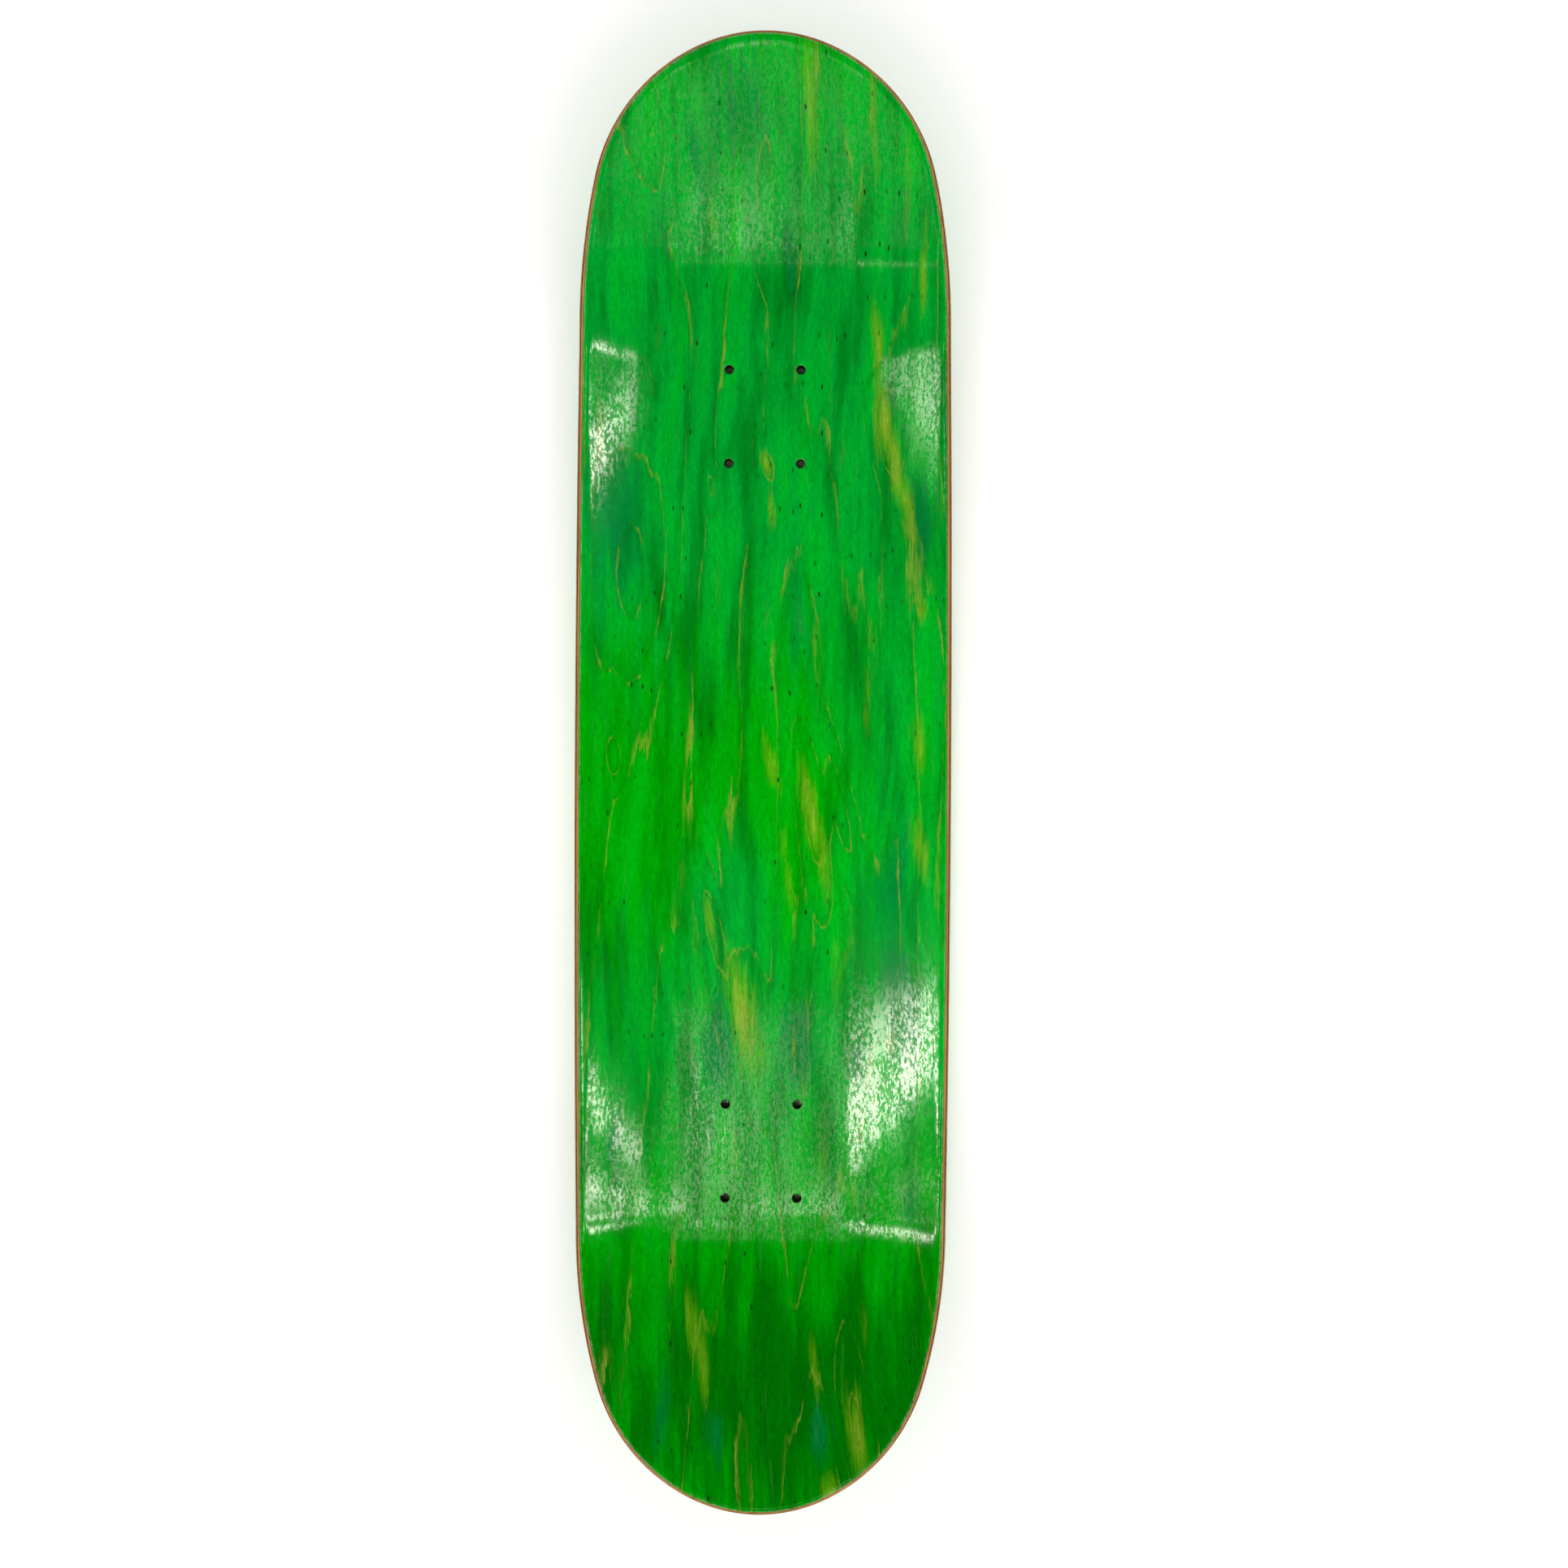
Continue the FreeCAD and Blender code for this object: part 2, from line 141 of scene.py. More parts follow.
def outline_arcs():
    """The left half of the outline from nose to tail: (centre, radius, first and last angle)."""
    centres, radii = {}, {}
    for end, sign in (("nose", 1), ("tail", -1)):
        tip_radius, side_radius = OUTLINE_RADII[end]
        tip = Vector((TIPS[end] - sign * tip_radius, 0))
        centres[end] = tip, joining_centre(tip, tip_radius, side_radius)
        radii[end] = tip_radius, side_radius
    (nose, nose_side), (tail, tail_side) = centres["nose"], centres["tail"]
    turns = [0, bearing(nose_side, nose), bearing(RAIL_CENTRE, nose_side),
             bearing(RAIL_CENTRE, tail_side), bearing(tail_side, tail), math.pi]
    circles = [(nose, radii["nose"][0]), (nose_side, radii["nose"][1]),
               (RAIL_CENTRE, RAIL_RADIUS),
               (tail_side, radii["tail"][1]), (tail, radii["tail"][0])]
    return [(centre, radius, first, last)
            for (centre, radius), first, last in zip(circles, turns, turns[1:])]


ARCS = outline_arcs()


def half_width(x, inset):
    """Half the deck's width at x, inside an outline moved inwards by inset."""
    for centre, radius, _, last in ARCS:
        reach = radius - inset
        if x >= centre.x + reach * math.cos(last):
            return centre.y + math.sqrt(max(reach ** 2 - (x - centre.x) ** 2, 0))
    return 0.0


print("half width at the truck holes:", round(half_width(OUTER_HOLE, 0) / MM, 1), "mm")

# %% [markdown]
# A square grid can cover this outline without a pole if its four corners lie on the tip arcs.
# Its long sides then follow the rails, its short sides bulge round the tips, and the bulge fades
# out towards the middle of the deck. This is simpler than filling an outline with triangles, and
# reflections slide over it cleanly.

# %% From a square to the deck's plan
CORNER_ANGLE = math.radians(52)     # where a corner of the grid sits on a tip's arc
BULGE_FADE = 4                      # how quickly the bulge of the tips fades along the deck


def plan_point(u, v, inset):
    """The place of a grid point: u from -1 tail to 1 nose, v from -1 right to 1 left."""
    nose_centre, nose_radius = ARCS[0][0].x, ARCS[0][1] - inset
    tail_centre, tail_radius = ARCS[-1][0].x, ARCS[-1][1] - inset
    corner_nose = nose_centre + nose_radius * math.cos(CORNER_ANGLE)
    corner_tail = tail_centre - tail_radius * math.cos(CORNER_ANGLE)
    share = (u + 1) / 2
    x = corner_tail + (corner_nose - corner_tail) * share
    y = v * half_width(x, inset)
    turn, chord = CORNER_ANGLE * v, math.sin(CORNER_ANGLE) * v
    for weight, radius, sign in ((share ** BULGE_FADE, nose_radius, 1),
                                 ((1 - share) ** BULGE_FADE, tail_radius, -1)):
        x += weight * sign * radius * (math.cos(turn) - math.cos(CORNER_ANGLE))
        y += weight * radius * (math.sin(turn) - chord)
    return x, y


print("nose tip at", round(plan_point(1, 0, 0)[0] / MM, 1), "mm")

# %% [markdown]
# The mould has a flat middle that curves up at both sides, and that same section is carried
# along a side line that bends up at the nose and the tail. Both are arcs, so a surface that lies
# a little higher in the stack has a slightly smaller radius, and the veneers nest without gaps.
# The routed edge leans in as it rises, square to the curved faces, and is rounded at both faces.

# %% The mould and the routed edge
def mould_height(x, y, height):
    """How high the surface lies over a plan point, for one height in the stack."""
    across = max(abs(y) - FLAT_HALF_WIDTH, 0)
    rise = CONCAVE_RADIUS - math.sqrt((CONCAVE_RADIUS - height) ** 2 - across ** 2)
    start, radius, angle, kick_radius = BENDS["nose" if x > 0 else "tail"]
    beyond = abs(x) - start
    if beyond <= 0:
        return rise
    if beyond <= (radius - rise) * math.sin(angle):
        return radius - math.sqrt((radius - rise) ** 2 - beyond ** 2)
    centre_along = (radius - kick_radius) * math.sin(angle)
    centre_up = radius + (kick_radius - radius) * math.cos(angle)
    return centre_up - math.sqrt((kick_radius - rise) ** 2 - (beyond - centre_along) ** 2)


def edge_inset(height):
    """How far inside the widest outline the routed edge lies at one height in the stack."""
    lean = math.sin(EDGE_TILT)
    depth = min(height, THICKNESS - height, EDGE_RADIUS)
    rounding = EDGE_RADIUS - math.sqrt(EDGE_RADIUS ** 2 - (EDGE_RADIUS - depth) ** 2)
    widest = EDGE_RADIUS * (1 - math.cos(EDGE_TILT) + lean - lean ** 2)
    return rounding + height * lean - widest


print("the edge rises", round(mould_height(0, HALF_WIDTH, 0) / MM, 1), "mm at the rails")

# %% [markdown]
# ## The seven veneers
#
# One function makes any veneer. It starts with a flat grid, extrudes it upwards level by level
# into a closed slab, and then presses it: each point is moved to where the mould puts it. The
# face veneers get more levels, because the round-over runs through them. Where two veneers meet
# on the edge, each is taken in by a hair, so the glue line shows as a fine groove.

# %% Press a veneer
LENGTH_STEPS = 240
FACE_WIDTH_STEPS, CORE_WIDTH_STEPS = 104, 56
GLUE_GROOVE = 0.07 * MM
LEVEL_PITCH = 0.27 * MM
HAIR = MM / 1000                    # two heights closer than this are the same


def stack_levels(low, high):
    """The heights of a veneer's rows of points, with a fine groove where it meets another."""
    rows = max(2, round((high - low) / LEVEL_PITCH))
    levels = [(low + (high - low) * row / rows, 0.0) for row in range(rows + 1)]
    if low > 0:
        levels[0] = (low, GLUE_GROOVE)
        levels.insert(1, (low + GLUE_GROOVE, 0.0))
    if high < THICKNESS - HAIR:
        levels[-1] = (high, GLUE_GROOVE)
        levels.insert(-1, (high - GLUE_GROOVE, 0.0))
    return levels


def flat_blank(levels, width_steps):
    """A square slab, one row of points for each level, with the level's number as its height."""
    blank = bmesh.new()
    bmesh.ops.create_grid(blank, x_segments=LENGTH_STEPS, y_segments=width_steps, size=1)
    sheet = blank.faces[:]
    for number in range(1, len(levels)):
        lifted = bmesh.ops.extrude_face_region(blank, geom=sheet, use_keep_orig=number == 1)
        if number > 1:
            bmesh.ops.delete(blank, geom=sheet, context="FACES_ONLY")
        sheet = [item for item in lifted["geom"] if isinstance(item, bmesh.types.BMFace)]
        points = [item for item in lifted["geom"] if isinstance(item, bmesh.types.BMVert)]
        bmesh.ops.translate(blank, verts=points, vec=(0, 0, 1))
    return blank


def press(blank, levels):
    """Move every point of a flat blank to its place in the mould."""
    for point in blank.verts:
        height, groove = levels[round(point.co.z)]
        x, y = plan_point(point.co.x, point.co.y, edge_inset(height) + groove)
        point.co = (x, y, mould_height(x, y, height))
    bmesh.ops.recalc_face_normals(blank, faces=blank.faces[:])


def make_veneer(name, low, high):
    levels = stack_levels(low, high)
    on_a_face = low == 0 or high > THICKNESS - HAIR
    blank = flat_blank(levels, FACE_WIDTH_STEPS if on_a_face else CORE_WIDTH_STEPS)
    press(blank, levels)
    mesh = bpy.data.meshes.new(name)
    blank.to_mesh(mesh)
    blank.free()
    veneer = bpy.data.objects.new(name, mesh)
    bpy.context.scene.collection.objects.link(veneer)
    return veneer


veneers = {}
low = 0.0
for ply, thickness, _ in PLIES:
    veneers[ply] = make_veneer("pressed_" + ply, low, low + thickness)
    low += thickness
    print(ply, len(veneers[ply].data.polygons), "faces")

# %% [markdown]
# ## The truck holes
#
# The eight holes go straight down through the flat part of the stack. One cutter, eight spun
# cylinders in one mesh, serves all the veneers through a Boolean modifier, and the result is
# applied so that what is left is a plain mesh. At both faces the drill's mouth is a little wider,
# because sanding and lacquer always soften that rim.

# %% Drill
HOLE_SIDES = 48
MOUTH = 0.25 * MM


def drill_cutter():
    """Eight drills as one mesh, each a profile spun about its own axis."""
    cutter = bmesh.new()
    profile = [(0, -MM), (HOLE_RADIUS + MOUTH + MM, -MM), (HOLE_RADIUS, MOUTH),
               (HOLE_RADIUS, THICKNESS - MOUTH), (HOLE_RADIUS + MOUTH + MM, THICKNESS + MM),
               (0, THICKNESS + MM)]
    for along in (-OUTER_HOLE, -WHEELBASE / 2, WHEELBASE / 2, OUTER_HOLE):
        for across in (-HOLE_SPACING / 2, HOLE_SPACING / 2):
            points = [cutter.verts.new((along + reach, across, height))
                      for reach, height in profile]
            edges = [cutter.edges.new(pair) for pair in zip(points, points[1:])]
            bmesh.ops.spin(cutter, geom=points + edges, cent=(along, across, 0),
                           axis=(0, 0, 1), angle=math.tau, steps=HOLE_SIDES, use_merge=True)
    bmesh.ops.remove_doubles(cutter, verts=cutter.verts, dist=HAIR)
    bmesh.ops.recalc_face_normals(cutter, faces=cutter.faces[:])
    mesh = bpy.data.meshes.new("drill")
    cutter.to_mesh(mesh)
    cutter.free()
    drill = bpy.data.objects.new("drill", mesh)
    bpy.context.scene.collection.objects.link(drill)
    return drill


def drill_through(veneer, drill):
    """Cut the holes and keep the result as the veneer's own mesh."""
    holes = veneer.modifiers.new("holes", "BOOLEAN")
    holes.operation = "DIFFERENCE"
    holes.solver = "EXACT"
    holes.object = drill
    view = bpy.context.evaluated_depsgraph_get()
    mesh = bpy.data.meshes.new_from_object(veneer.evaluated_get(view))
    veneer.modifiers.clear()
    old = veneer.data
    veneer.data = mesh
    bpy.data.meshes.remove(old)


drill = drill_cutter()
for veneer in veneers.values():
    drill_through(veneer, drill)
    print(veneer.name, len(veneer.data.vertices), "points after drilling")
bpy.data.objects.remove(drill)

# %% [markdown]
# The faces are shaded smooth, so that the lacquer reflects as one surface, but an edge where two
# faces meet at a clear angle stays crisp: the mouths of the holes, and the rim of each veneer.

# %% Smooth faces, crisp edges
CRISP_ANGLE = math.radians(32)


def finish_surface(veneer):
    """Shade the veneer, and count its open edges: a closed solid has none."""
    shape = bmesh.new()
    shape.from_mesh(veneer.data)
    for face in shape.faces:
        face.smooth = True
    for edge in shape.edges:
        if edge.is_manifold and edge.calc_face_angle() > CRISP_ANGLE:
            edge.smooth = False
    open_edges = sum(not edge.is_manifold for edge in shape.edges)
    shape.to_mesh(veneer.data)
    shape.free()
    return open_edges


for veneer in veneers.values():
    print(veneer.name, "open edges:", finish_surface(veneer))

# %% [markdown]
# The finishes need to know how deep in the stack a point of the edge lies, to draw the glue
# lines. Both curves of the mould are arcs, so its formula can be turned round, and the answer is
# kept on the mesh as an attribute that any material can read.

# %% Depth in the stack
def stack_height(x, y, z):
    """The height in the flat stack of a point of the pressed deck."""
    start, radius, angle, kick_radius = BENDS["nose" if x > 0 else "tail"]
    beyond = abs(x) - start
    rise = z
    if beyond > 0:
        rise = radius - math.hypot(radius - z, beyond)
        if beyond > (radius - rise) * math.sin(angle):
            centre_along = (radius - kick_radius) * math.sin(angle)
            centre_up = radius + (kick_radius - radius) * math.cos(angle)
            rise = kick_radius - math.hypot(centre_up - z, beyond - centre_along)
    across = max(abs(y) - FLAT_HALF_WIDTH, 0)
    return CONCAVE_RADIUS - math.hypot(CONCAVE_RADIUS - rise, across)


for veneer in veneers.values():
    depth = veneer.data.attributes.new("stack_height", "FLOAT", "POINT")
    heights = [stack_height(*point.co) for point in veneer.data.vertices]
    depth.data.foreach_set("value", heights)
    print(veneer.name, f"{min(heights) / MM:.2f} to {max(heights) / MM:.2f} mm")

# %% [markdown]
# ## Wood, dye and lacquer
#
# A picture of wood would be quick, but it would be flat and would repeat. Here the figure is
# worked out from the object's own coordinates instead, in metres, with the grain along X: noise
# that is stretched many times along the grain looks like fibres, bands and flames, depending
# only on its scale. Two small helpers keep the node trees readable.

# %% Node helpers
def add(tree, kind, inputs=(), **settings):
    """Add a node with its settings, and fill its inputs with values or with other outputs."""
    node = tree.nodes.new(kind)
    for name, value in settings.items():
        setattr(node, name, value)
    for socket, value in dict(inputs).items():
        if isinstance(value, bpy.types.NodeSocket):
            tree.links.new(value, node.inputs[socket])
        else:
            node.inputs[socket].default_value = value
    return node


def calculate(tree, operation, *values):
    return add(tree, "ShaderNodeMath", enumerate(values), operation=operation).outputs[0]


def fade(tree, value, start, end, low=0.0, high=1.0):
    """A soft step from low to high while the value goes from start to end."""
    node = add(tree, "ShaderNodeMapRange", {0: value, 1: start, 2: end, 3: low, 4: high},
               interpolation_type="SMOOTHSTEP")
    return node.outputs[0]


def blend(tree, share, under, over, mode="MIX"):
    node = add(tree, "ShaderNodeMix", {0: share, 6: under, 7: over},
               data_type="RGBA", blend_type=mode)
    return node.outputs[2]


def stretched_noise(tree, place, size, detail=2.0, roughness=0.5, shift=0.0):
    """Noise from 0 to 1 whose lumps are about this size in metres along each axis."""
    scaled = add(tree, "ShaderNodeMapping",
                 {0: place, 1: (shift, shift, shift), 3: [1 / length for length in size]})
    noise_node = add(tree, "ShaderNodeTexNoise",
                     {"Vector": scaled.outputs[0], "Scale": 1.0, "Detail": detail,
                      "Roughness": roughness})
    return noise_node.outputs["Fac"]


def colour(red, green, blue):
    """A colour given as it looks on a screen, from 0 to 255, as the shader wants it."""
    shares = [part / 255 for part in (red, green, blue)]
    return [part / 12.92 if part <= 0.04045 else ((part + 0.055) / 1.055) ** 2.4
            for part in shares] + [1.0]


print("helpers ready")

# %% [markdown]
# The grain is never quite straight. All the figure is read from a place that wanders a little
# from side to side, slowly along the deck and more quickly in small ripples, so every band and
# fibre wanders together, as it does in real wood.

# %% The grain's wander
def wandering_place(tree, slow=10 * MM, quick=1.2 * MM, shift=0.0):
    """The object's coordinates, pushed sideways by up to slow and quick; shift picks a noise."""
    place = add(tree, "ShaderNodeTexCoord").outputs["Object"]
    slow_wave = stretched_noise(tree, place, (0.22, 0.08, 0.22), 1.0, 0.4, shift)
    quick_wave = stretched_noise(tree, place, (0.045, 0.012, 0.045), 2.0, 0.5, shift + 3)
    slow_push = calculate(tree, "MULTIPLY_ADD", slow_wave, 2 * slow, -slow)
    push = calculate(tree, "MULTIPLY_ADD", quick_wave, 2 * quick,
                     calculate(tree, "SUBTRACT", slow_push, quick))
    aside = add(tree, "ShaderNodeCombineXYZ", {1: push}).outputs[0]
    return add(tree, "ShaderNodeVectorMath", {0: place, 1: aside}, operation="ADD").outputs[0]


# %% [markdown]
# Dye doesn't take evenly. Where the wood is dense it stays pale and yellowish, and where it is
# open it drinks more and turns teal. Those marks belong to this one sheet of veneer, so they are
# placed one by one: each is a soft ellipse along the grain, and many ellipses of a kind add up to
# one field. A field like this could be built from nodes, but hundreds of them are slow, so it is
# painted on the mesh as a point attribute instead. The material adds a fibrous noise before it
# cuts the field off, and that gives every mark the ragged flame ends that dye leaves in wood.

# %% Marks in one sheet of veneer
def paint_marks(veneer, name, marks):
    """Add up soft ellipses: (along, across, half length, half width, lean, strength).

    Sizes are in millimetres, the lean in degrees, and a strength of 1 is a full mark."""
    places = numpy.empty(len(veneer.data.vertices) * 3)
    veneer.data.vertices.foreach_get("co", places)
    ahead, aside = places[0::3] / MM, places[1::3] / MM
    total = numpy.zeros(len(ahead))
    for along, across, half_length, half_width, lean, strength in marks:
        turn = math.radians(lean)
        far, side = ahead - along, aside - across
        reach = numpy.hypot((far * math.cos(turn) + side * math.sin(turn)) / half_length,
                            (side * math.cos(turn) - far * math.sin(turn)) / half_width)
        total += strength * numpy.clip(1 - reach, 0, 1)
    field = veneer.data.attributes.new(name, "FLOAT", "POINT")
    field.data.foreach_set("value", total)
    return total.max()


# Dense wood that stays pale.
PALE_MARKS = [
    (385, -25, 60, 7, 5, 1.0), (375, -60, 45, 4, 5, 0.8), (350, -80, 60, 6, 0, 0.6),
    (290, -90, 40, 4, 0, 0.9), (205, -70, 35, 11, 12, 1.0), (165, -80, 40, 7, 12, 1.1),
    (250, -65, 50, 7, 5, 0.7), (185, 0, 15, 6, 20, 0.9), (155, -5, 20, 4, 5, 0.9),
    (320, 30, 25, 5, 10, 0.5), (170, 30, 15, 3, 5, 0.5), (100, -90, 15, 6, 0, 0.9),
    (10, -5, 30, 6, 12, 0.9), (-25, -30, 60, 8, 10, 1.0), (20, -90, 30, 8, 5, 0.9),
    (-35, -90, 30, 7, 5, 1.0), (-55, -15, 40, 5, 5, 0.9), (-80, 30, 35, 5, 10, 0.7),
    (-135, 10, 65, 14, 12, 1.0), (-110, -45, 45, 8, 0, 0.5), (-175, -65, 40, 8, -10, 0.5),
    (-320, 35, 45, 8, 10, 1.0), (-325, -30, 30, 6, 10, 0.7), (-365, -55, 40, 10, 10, 1.0),
    (-395, -40, 20, 8, 5, 1.0), (-300, -60, 40, 6, 0, 0.5), (-215, -35, 40, 5, 0, 0.6),
    (60, -60, 60, 5, 0, 0.5), (75, -30, 50, 3, 5, 0.5), (-210, 15, 30, 5, 0, 0.5),
]
# Open wood that turns teal.
TEAL_MARKS = [
    (380, 15, 60, 30, 0, 0.7), (350, 40, 40, 6, 5, 0.8), (295, -15, 40, 7, 5, 0.9),
    (150, -90, 40, 10, 5, 1.3), (150, 85, 70, 25, 0, 1.0), (-150, 25, 45, 15, 0, 1.2),
    (-150, -20, 45, 15, 0, 1.2), (-160, -55, 20, 5, 0, 1.2), (-130, -80, 45, 15, 5, 1.3),
    (-355, 55, 40, 8, 0, 0.8), (-365, 25, 25, 10, 0, 0.9), (-365, -35, 25, 12, 0, 0.8),
    (-205, 85, 30, 7, -10, 0.8), (-60, -75, 80, 15, 0, 0.8), (-240, -85, 30, 10, 0, 0.8),
    (315, 60, 40, 15, 0, 0.5), (120, -20, 90, 18, 0, 0.4), (330, -80, 40, 8, 0, 0.6),
]
# Wood that soaks up more green, and painted shade: the broad marks over the tail and
# across the foot of the nose kick darken the dye where less light falls.
DEEP_DYE_AND_SHADE_MARKS = [
    (-350, -20, 110, 210, 0, 0.9), (-345, -80, 90, 60, 0, 0.3), (280, 0, 35, 200, 0, 0.4),
    (295, -15, 30, 7, 5, 0.9), (105, 60, 35, 5, 5, 1.0), (145, -90, 25, 8, 5, 0.9),
    (-300, 40, 45, 8, 0, 0.6), (-310, -5, 45, 12, 0, 1.0), (-330, 90, 70, 14, 0, 0.6),
    (-360, -10, 45, 8, 0, 0.6), (-305, -55, 40, 8, 0, 0.8), (40, 30, 80, 10, 0, 0.5),
    (90, -50, 70, 10, 5, 0.5), (30, -60, 60, 8, 5, 0.6), (-150, 60, 60, 8, 0, 0.4),
]
# Broad areas where the green leans to blue.
COOL_MARKS = [
    (250, 10, 250, 320, 0, 1.2), (-160, -10, 130, 260, 0, 0.75), (-20, -80, 170, 60, 0, 0.6),
    (-60, 20, 70, 35, 0, 0.7), (150, 85, 80, 30, 0, 0.5),
]
# Hilltops that growth rings close round, where a strength of 1 is one ring.
RING_HILLS = [
    (370, 65, 60, 20, 5, 2.4), (120, 75, 90, 25, 0, 2.0), (170, 30, 20, 5, 5, 1.5),
    (15, 85, 25, 8, 0, 1.5), (-15, -45, 60, 10, 10, 2.0), (-75, 30, 45, 8, 10, 1.6),
    (185, 0, 20, 8, 15, 1.4), (-25, -30, 80, 12, 10, 1.8), (205, -70, 50, 16, 12, 2.0),
    (-135, 10, 80, 20, 12, 1.6), (-360, -55, 60, 16, 10, 1.6), (330, 0, 60, 14, 5, 1.6),
]

MARKS = {"pale": PALE_MARKS, "teal": TEAL_MARKS, "deep": DEEP_DYE_AND_SHADE_MARKS, "cool": COOL_MARKS,
         "hills": RING_HILLS}
for ply in ("top_face_ply", "bottom_face_ply"):
    strongest = [f"{paint_marks(veneers[ply], name, marks):.2f}" for name, marks in MARKS.items()]
    print(ply, "strongest marks:", strongest)

# %% [markdown]
# Maple also has small dark dashes all along the grain, thin vessels and specks of bark. They are
# Voronoi cells: the cells are stretched along the grain, most are switched off at random by
# their own colour, and in the rest only a small spot round the cell's point is kept.

# %% Flecks
def flecks(tree, place, length, width, keep, seed):
    """Dark dashes of about this size; keep is the share of cells that show one."""
    scaled = add(tree, "ShaderNodeMapping",
                 {0: place, 1: (seed, seed, 0),
                  3: (1 / (9 * length), 1 / (6 * width), 0)}).outputs[0]
    cells = add(tree, "ShaderNodeTexVoronoi", {"Vector": scaled, "Scale": 1.0},
                voronoi_dimensions="2D", feature="F1")
    offset = add(tree, "ShaderNodeVectorMath", {0: scaled, 1: cells.outputs["Position"]},
                 operation="SUBTRACT").outputs[0]
    reach = add(tree, "ShaderNodeVectorMath", {0: offset, 1: (9.0, 6.0, 0)},
                operation="MULTIPLY").outputs[0]
    size = add(tree, "ShaderNodeVectorMath", {0: reach}, operation="LENGTH").outputs["Value"]
    chosen = add(tree, "ShaderNodeSeparateColor", {0: cells.outputs["Color"]})
    shown = calculate(tree, "LESS_THAN", chosen.outputs[0], keep)
    strength = calculate(tree, "MULTIPLY", shown, fade(tree, chosen.outputs[1], 0, 1, 0.4, 1.0))
    return calculate(tree, "MULTIPLY", fade(tree, size, 0.75, 0.35), strength)


# %% [markdown]
# The growth rings of a peeled veneer are the contour lines of a slow hilly field, because the
# knife cuts along the rings instead of across them. A contour is thin where the hill is steep
# and wide where it is flat, and closes into tongues and loops round every hilltop. A few hills
# are placed one by one, to put the tongues where this sheet has them.

# %% Rings of a peeled veneer
def painted(tree, name):
    """Read a painted field back from the mesh."""
    return add(tree, "ShaderNodeAttribute", attribute_name=name).outputs["Fac"]


def ring_lines(tree, place, fibre):
    """Two outputs: a thin pale line along each ring, and a slope that rises between lines."""
    slow = stretched_noise(tree, place, (0.60, 0.060, 0.60), 1.5, 0.45, 11)
    field = calculate(tree, "MULTIPLY_ADD", slow, 9.0, painted(tree, "hills"))
    ragged = calculate(tree, "MULTIPLY_ADD", fibre, 0.35, field)
    slope = calculate(tree, "FRACT", ragged)
    line = calculate(tree, "MULTIPLY", fade(tree, slope, 0.0, 0.015), fade(tree, slope, 0.09, 0.02))
    return line, slope


# %% [markdown]
# Now the face veneer's finish is put together, from the large to the small: the dye's broad
# clouds, bands, flames of pale and of teal, ring lines, fibres, and flecks. Every colour is a
# mix that the same noises steer, so neighbouring marks never look pasted on.

# %% Green dyed maple
GREEN = colour(0, 146, 0)
BLUE_GREEN = colour(0, 152, 44)
TEAL = colour(0, 118, 52)
DEEP = colour(0, 96, 2)
LIME = colour(96, 158, 14)
STRAW = colour(150, 166, 52)
FLECK = colour(6, 50, 14)


